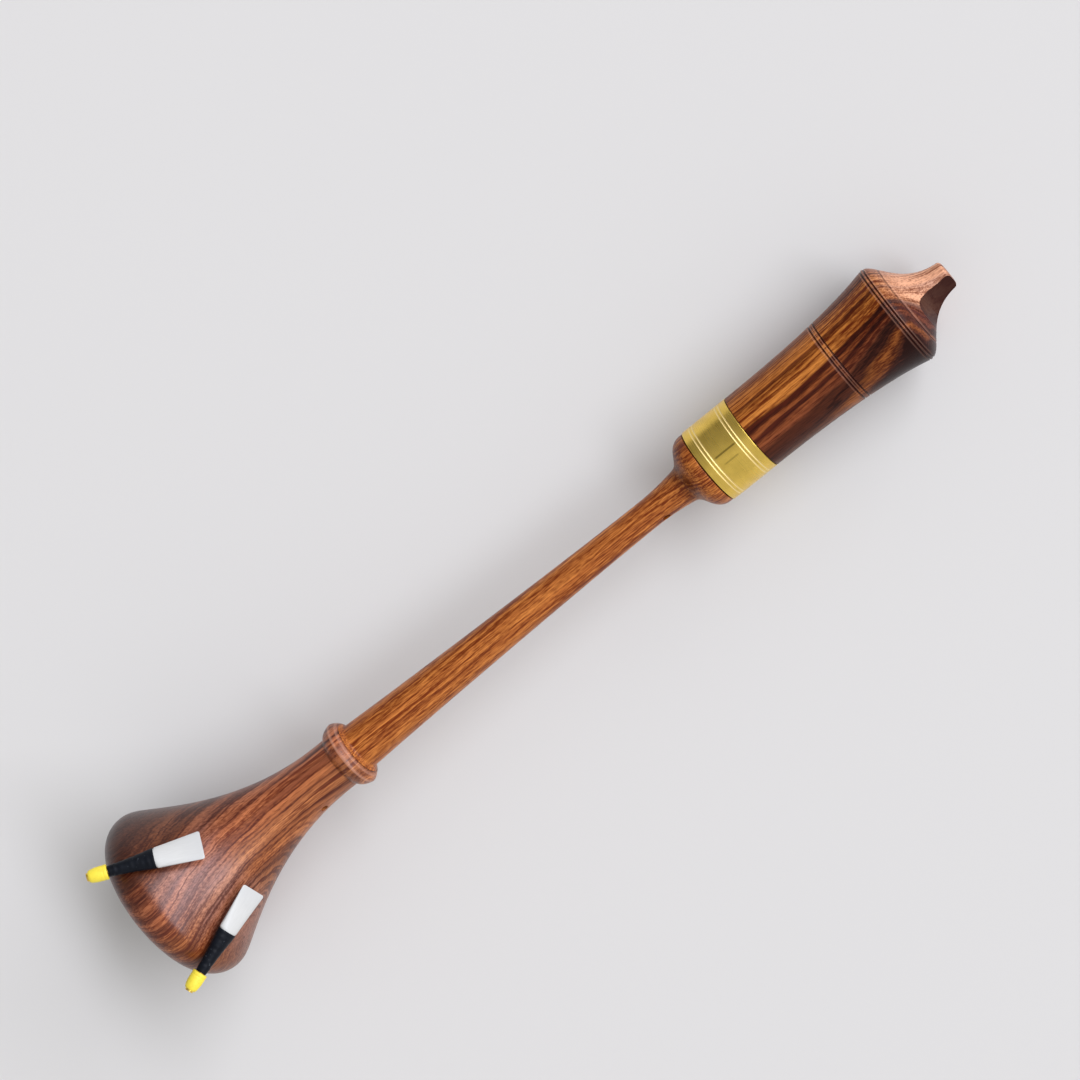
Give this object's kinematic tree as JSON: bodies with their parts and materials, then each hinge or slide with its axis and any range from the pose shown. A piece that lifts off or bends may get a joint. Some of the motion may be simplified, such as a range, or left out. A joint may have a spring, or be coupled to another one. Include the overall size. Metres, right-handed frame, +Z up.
{
  "type": "shawm",
  "caption": "Wind-cap shawm of turned rosewood: flared bell, tapered stem and a brass-ringed cap over a double reed, laid down with spare reeds on its bell.",
  "frame": {"origin": "centre of the bounding box at floor level, with the shawm lying on its bell's lip and its cap's shoulder", "axes": "+X along the instrument from the bell to the beak, +Z up"},
  "size_m": [0.5016, 0.0932, 0.0982],
  "materials": {
    "bell_rosewood": "oiled and polished rosewood, reddish brown with dark streaks",
    "stem_rosewood": "polished rosewood, orange brown with fine straight grain",
    "cap_rosewood": "glossy rosewood, orange brown with dark bands",
    "brass": "satin brass",
    "cork": "bare cork",
    "black_wrap": "black shrunk plastic tube",
    "yellow_sleeve": "yellow plastic",
    "reed_plastic": "white plastic reed blade"
  },
  "bodies": {
    "chanter": {"chanter": "stem_rosewood", "bell_tenon_cork": "cork", "cap_tenon_cork": "cork"},
    "bell": {"bell": "bell_rosewood"},
    "wind_cap": {"wind_cap": "cap_rosewood", "cap_ferrule": "brass"},
    "reed": {"reed_staple": "brass", "reed_sleeve": "yellow_sleeve", "reed_wrap": "black_wrap", "reed_blade_upper": "reed_plastic", "reed_blade_lower": "reed_plastic"},
    "spare_reed_1": {"spare_reed_1_staple": "brass", "spare_reed_1_sleeve": "yellow_sleeve", "spare_reed_1_wrap": "black_wrap", "spare_reed_1_blade_upper": "reed_plastic", "spare_reed_1_blade_lower": "reed_plastic"},
    "spare_reed_2": {"spare_reed_2_staple": "brass", "spare_reed_2_sleeve": "yellow_sleeve", "spare_reed_2_wrap": "black_wrap", "spare_reed_2_blade_upper": "reed_plastic", "spare_reed_2_blade_lower": "reed_plastic"}
  },
  "joints": [
    {"name": "wind_cap_pull", "type": "slide", "parent": "chanter", "child": "wind_cap", "axis": [0.999, 0, -0.0443], "range_m": [0, 0.08]},
    {"name": "bell_pull", "type": "slide", "parent": "chanter", "child": "bell", "axis": [-0.999, 0, 0.0443], "range_m": [0, 0.025]},
    {"name": "reed_pull", "type": "slide", "parent": "chanter", "child": "reed", "axis": [0.999, 0, -0.0443], "range_m": [0, 0.012]},
    {"name": "spare_reed_1_lift", "type": "slide", "parent": "bell", "child": "spare_reed_1", "axis": [0.4545, 0.451, 0.7681], "range_m": [0, 0.06]},
    {"name": "spare_reed_2_lift", "type": "slide", "parent": "bell", "child": "spare_reed_2", "axis": [0.4702, -0.6275, 0.6206], "range_m": [0, 0.06]}
  ]
}
